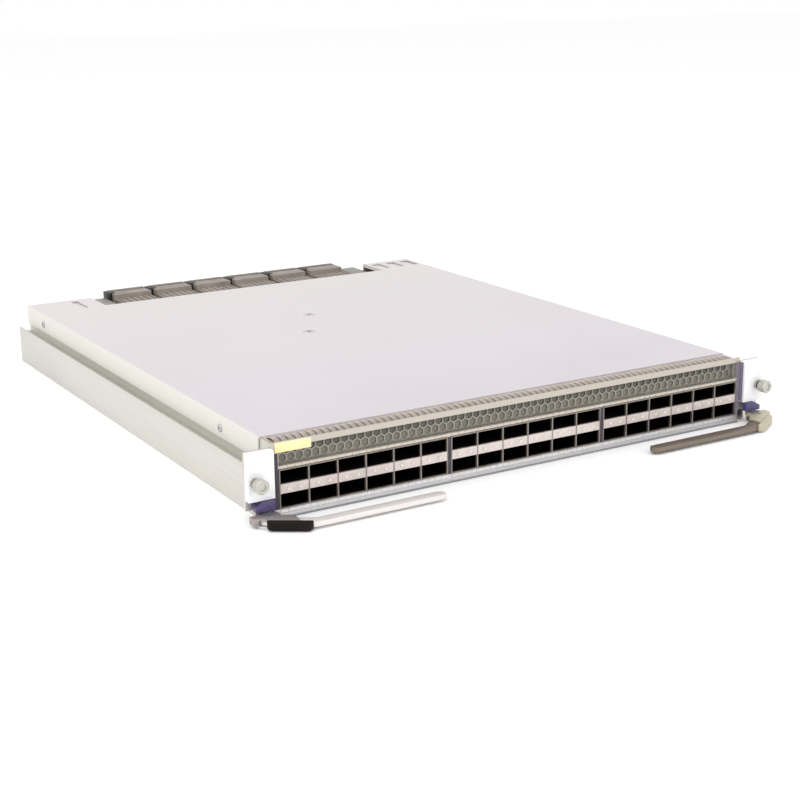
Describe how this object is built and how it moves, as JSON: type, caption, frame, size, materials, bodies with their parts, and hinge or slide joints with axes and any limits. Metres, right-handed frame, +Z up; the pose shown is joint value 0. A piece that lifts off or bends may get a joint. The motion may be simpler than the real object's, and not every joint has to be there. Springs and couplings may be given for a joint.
{
  "type": "switch line card",
  "caption": "Flat line card with two rows of port cages, a vent grille, ejector levers, captive screws and a rear row of backplane connectors.",
  "frame": {"origin": "on the bottom face, on the body's centre line, in the plane of the port mouths", "axes": "+X to the right across the face, +Y into the chassis, +Z up"},
  "size_m": [0.402, 0.5021, 0.0453],
  "materials": {
    "tray_steel": "zinc-plated sheet, satin",
    "cover_steel": "zinc-plated sheet, satin",
    "rail_aluminium": "clear anodised, satin",
    "face_aluminium": "clear anodised, satin",
    "grille_steel": "punched and nickel-plated",
    "finger_copper": "tin-plated copper alloy",
    "label_film": "blank film, matte",
    "cage_steel": "nickel-plated stamping",
    "septum_steel": "nickel-plated stamping",
    "port_plastic": "moulded black",
    "pipe_plastic": "clear moulding",
    "board_laminate": "solder mask, green",
    "standoff_brass": "turned, plain",
    "chip_package": "moulded package",
    "sink_aluminium": "extruded, plain",
    "brick_case": "black anodised",
    "pillar_aluminium": "turned, plain",
    "screw_steel": "zinc-plated",
    "connector_shield": "moulded with plated shields",
    "guide_plastic": "glass-filled moulding",
    "power_plastic": "glass-filled moulding",
    "ear_paint": "powder coat, near white",
    "knob_steel": "nickel-plated turning",
    "spring_steel": "spring wire",
    "latch_plastic": "moulded purple",
    "lever_light": "machined, bead-blasted",
    "lever_dark": "machined, dark anodised",
    "hub_zinc": "die-cast zinc, yellow passivated",
    "grip_plastic": "moulded black",
    "pin_steel": "turned"
  },
  "bodies": {
    "card": {"base_tray": "tray_steel", "board_standoffs": "standoff_brass", "cage_dividers_1": "cage_steel", "cage_dividers_2": "cage_steel", "cage_dividers_3": "cage_steel", "cage_septums_1": "septum_steel", "cage_septums_2": "septum_steel", "cage_septums_3": "septum_steel", "cover_pillars": "pillar_aluminium", "cover_screws": "screw_steel", "ear_bracket_left": "ear_paint", "ear_bracket_right": "ear_paint", "emi_finger_strip": "finger_copper", "fabric_connector_1": "connector_shield", "fabric_connector_2": "connector_shield", "fabric_connector_3": "connector_shield", "fabric_connector_4": "connector_shield", "fabric_connector_5": "connector_shield", "fabric_connector_6": "connector_shield", "front_panel": "face_aluminium", "guide_rail_left": "rail_aluminium", "guide_rail_right": "rail_aluminium", "guide_socket_left": "guide_plastic", "guide_socket_right": "guide_plastic", "heat_sink_1": "sink_aluminium", "heat_sink_2": "sink_aluminium", "heat_sink_3": "sink_aluminium", "label_plate": "label_film", "light_pipes": "pipe_plastic", "main_board": "board_laminate", "pivot_pin_left": "pin_steel", "pivot_pin_right": "pin_steel", "port_cage_1": "cage_steel", "port_cage_2": "cage_steel", "port_cage_3": "cage_steel", "port_connectors_1": "port_plastic", "port_connectors_2": "port_plastic", "port_connectors_3": "port_plastic", "power_bricks": "brick_case", "power_connector": "power_plastic", "screw_ferrule_left": "screw_steel", "screw_ferrule_right": "screw_steel", "screw_spring_left": "spring_steel", "screw_spring_right": "spring_steel", "switch_chips": "chip_package", "top_cover": "cover_steel", "vent_grille": "grille_steel"},
    "lever_left": {"ejector_lever_left": "lever_light", "lever_hub_left": "hub_zinc", "lever_grip_left": "grip_plastic"},
    "latch_left": {"release_latch_left": "latch_plastic"},
    "screw_carrier_left": {"spring_washer_left": "screw_steel"},
    "screw_left": {"captive_screw_left": "knob_steel"},
    "lever_right": {"ejector_lever_right": "lever_dark", "lever_hub_right": "hub_zinc", "lever_grip_right": "grip_plastic"},
    "latch_right": {"release_latch_right": "latch_plastic"},
    "screw_carrier_right": {"spring_washer_right": "screw_steel"},
    "screw_right": {"captive_screw_right": "knob_steel"}
  },
  "joints": [
    {"name": "lever_swing_left", "type": "hinge", "parent": "card", "child": "lever_left", "pos_m": [-0.1905, -0.01, 0.0016], "axis": [0, 0, -1], "range_deg": [0, 70]},
    {"name": "latch_press_left", "type": "slide", "parent": "card", "child": "latch_left", "axis": [0, 1, 0], "range_m": [0, 0.0025], "stiffness_N_per_m": 400, "springref_m": -0.002},
    {"name": "screw_press_left", "type": "slide", "parent": "card", "child": "screw_carrier_left", "axis": [0, 1, 0], "range_m": [0, 0.0038], "stiffness_N_per_m": 300, "springref_m": -0.002, "deforming": ["screw_spring_left"]},
    {"name": "screw_turn_left", "type": "hinge", "parent": "screw_carrier_left", "child": "screw_left", "pos_m": [-0.1955, -0.0134, 0.025], "axis": [0, 1, 0], "continuous": true},
    {"name": "lever_swing_right", "type": "hinge", "parent": "card", "child": "lever_right", "pos_m": [0.1905, -0.01, 0.0016], "axis": [0, 0, 1], "range_deg": [0, 70]},
    {"name": "latch_press_right", "type": "slide", "parent": "card", "child": "latch_right", "axis": [0, 1, 0], "range_m": [0, 0.0025], "stiffness_N_per_m": 400, "springref_m": -0.002},
    {"name": "screw_press_right", "type": "slide", "parent": "card", "child": "screw_carrier_right", "axis": [0, 1, 0], "range_m": [0, 0.0038], "stiffness_N_per_m": 300, "springref_m": -0.002, "deforming": ["screw_spring_right"]},
    {"name": "screw_turn_right", "type": "hinge", "parent": "screw_carrier_right", "child": "screw_right", "pos_m": [0.1955, -0.0134, 0.025], "axis": [0, 1, 0], "continuous": true}
  ]
}
